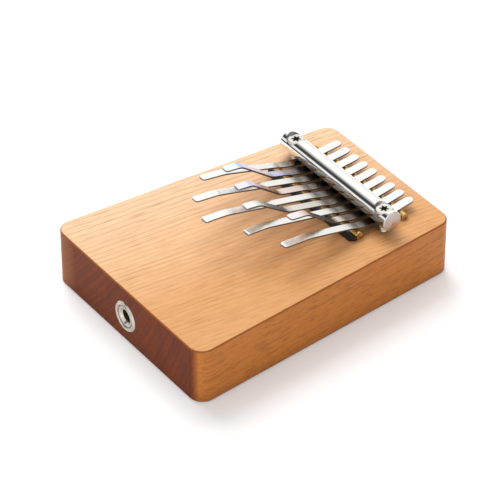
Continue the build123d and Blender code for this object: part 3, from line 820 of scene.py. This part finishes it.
# ---- CAD pieces ---------------------------------------------------------------------------
BRASS = metal_material("brass", (0.83, 0.58, 0.2), 0.22)
NICKEL = metal_material("nickel", (0.72, 0.68, 0.62), 0.16)
MATERIALS = {
    "wooden_body": wood_material(),
    "front_bridge_base": plastic_material("black_strip", (0.012, 0.01, 0.01), 0.3),
    "threaded_inserts": BRASS,
    "jack_lock_washer": NICKEL,
    "jack_ground_lug": NICKEL,
    "jack_lock_nut": NICKEL,
    "jack_insulator": plastic_material("jack_plastic", (0.02, 0.02, 0.02), 0.5),
    "jack_tip_contact": BRASS,
    "piezo_plate": BRASS,
    "piezo_ceramic": plastic_material("piezo_white", (0.8, 0.79, 0.74), 0.6),
    "signal_wire": plastic_material("red_wire", (0.45, 0.02, 0.015), 0.35),
    "ground_wire": plastic_material("black_wire", (0.015, 0.015, 0.015), 0.35),
    "pickup_cover": plastic_material("cover_plastic", (0.03, 0.03, 0.03), 0.55, grain=0.05),
    "cover_screws": STEEL_SCREW,
}
for node_name, node_material in MATERIALS.items():
    paint(node_name, node_material)


# ---- stage, light and camera --------------------------------------------------------------
CAMERA_AZIMUTH = 53.88
CAMERA_ELEVATION = 37.99
CAMERA_DISTANCE = 1.42
CAMERA_TARGET = Vector((-0.02363, 0.01131, 0))
CAMERA_LENS = 218.66
SENSOR = 36
FLOOR_HALF = 1.0
FLOOR_GAP = 0.2 * MM
FLOOR_FADE = (0.3, 0.7)
STUDIO_GLOW = 0.06
PANELS = [(236, 44, 23, 47, 1.05), (25, 52, 28, 46, 0.8)]
WALLS = [(236, 0.45, 0.8, 0.9), (75, 0.3, 0.7, 1.05)]
STRIP_PANEL = (318, 15, 55, 70, 0.85)


def direction(azimuth, elevation):
    """The unit vector towards an azimuth, from -Y towards +X, and an elevation, in degrees."""
    azimuth, elevation = radians(azimuth), radians(elevation)
    return Vector((sin(azimuth) * cos(elevation), -cos(azimuth) * cos(elevation), sin(elevation)))


def set_camera():
    back = direction(CAMERA_AZIMUTH, CAMERA_ELEVATION)
    data = bpy.data.cameras.new("camera")
    data.lens = CAMERA_LENS
    data.sensor_width = SENSOR
    data.clip_end = 20
    camera = bpy.data.objects.new("camera", data)
    bpy.context.scene.collection.objects.link(camera)
    camera.location = CAMERA_TARGET + back * CAMERA_DISTANCE
    camera.rotation_euler = back.to_track_quat("Z", "Y").to_euler()
    bpy.context.scene.camera = camera


def set_floor():
    """A pale floor. It fades out in a circle before the horizon, so that metals don't mirror it as
    a bright band, and it is lifted towards white for the camera alone."""
    mesh = bpy.data.meshes.new("floor")
    corners = [(x * FLOOR_HALF, y * FLOOR_HALF, 0) for x, y in ((-1, -1), (1, -1), (1, 1), (-1, 1))]
    mesh.from_pydata(corners, [], [(0, 1, 2, 3)])
    pale = Shader("floor", (0.93, 0.93, 0.93), 0.0, 0.9)
    place = pale.node("TexCoord").outputs["Object"]
    reach = pale.node("VectorMath", {0: place}, operation="LENGTH").outputs["Value"]
    seen = pale.node("LightPath").outputs["Is Camera Ray"]
    pale.set(pale.surface, {
        "Alpha": pale.range(reach, *FLOOR_FADE, 1.0, 0.0),
        "Specular IOR Level": 0.0,
        "Emission Color": (1, 1, 1, 1),
        "Emission Strength": pale.math("MULTIPLY", seen, 0.22),
    })
    floor = link("floor", mesh, pale.material)
    floor.location.z = WOOD_LOW.z - FLOOR_GAP


def area_light(name, azimuth, elevation, distance, size, power, color=(1, 1, 1)):
    """A soft light that metals don't mirror: they mirror the panels of the world instead."""
    data = bpy.data.lights.new(name, "AREA")
    data.size = size
    data.energy = power
    data.color = color
    light = bpy.data.objects.new(name, data)
    bpy.context.scene.collection.objects.link(light)
    back = direction(azimuth, elevation)
    light.location = back * distance
    light.rotation_euler = back.to_track_quat("Z", "Y").to_euler()
    light.visible_glossy = False


def set_world():
    """A dim studio for the metal to mirror: large soft panels behind the object and to its front
    right, a low strip to its left and pale walls at both sides. The panel and wall on the right
    are there for views from behind. The camera itself sees plain white."""
    world = bpy.data.worlds.new("studio")
    world.use_nodes = True
    bpy.context.scene.world = world
    sky = Nodes(world.node_tree)
    look = sky.node("TexCoord").outputs["Generated"]
    height = sky.math("ARCSINE", sky.axes(look)[2])

    def panel(azimuth, elevation, inner, outer, strength):
        """A round panel, full up to one angle from its middle and faded out at the other."""
        angle = sky.math("ARCCOSINE", sky.dot(look, direction(azimuth, elevation)))
        return sky.range(angle, radians(inner), radians(outer), strength, 0.0)

    def wall(azimuth, start, full, strength):
        """A wall at an azimuth, fading out sideways and above."""
        spread = sky.range(sky.dot(look, direction(azimuth, 0)), start, full, 0.0, strength)
        return sky.math("MULTIPLY", spread, sky.range(height, radians(25), radians(50), 1.0, 0.0))

    lower_edge = sky.range(height, radians(6), radians(9))
    upper_edge = sky.range(height, radians(23), radians(27), 1.0, 0.0)
    strip = sky.math("MULTIPLY", lower_edge, sky.math("MULTIPLY", upper_edge, panel(*STRIP_PANEL)))
    lights = [panel(*place) for place in PANELS] + [wall(*place) for place in WALLS] + [strip]
    total = lights[0]
    for light in lights[1:]:
        total = sky.math("MAXIMUM", total, light)
    total = sky.math("ADD", total, STUDIO_GLOW)
    seen = sky.node("LightPath").outputs["Is Camera Ray"]
    sky.set(sky.nodes["Background"], {"Color": (1, 1, 1, 1), "Strength": sky.math("MAXIMUM", total, seen)})


set_camera()
set_floor()
set_world()
area_light("key", azimuth=258, elevation=52, distance=1.0, size=0.7, power=7.2, color=(1, 0.99, 0.97))
bpy.context.scene.view_settings.view_transform = "Standard"
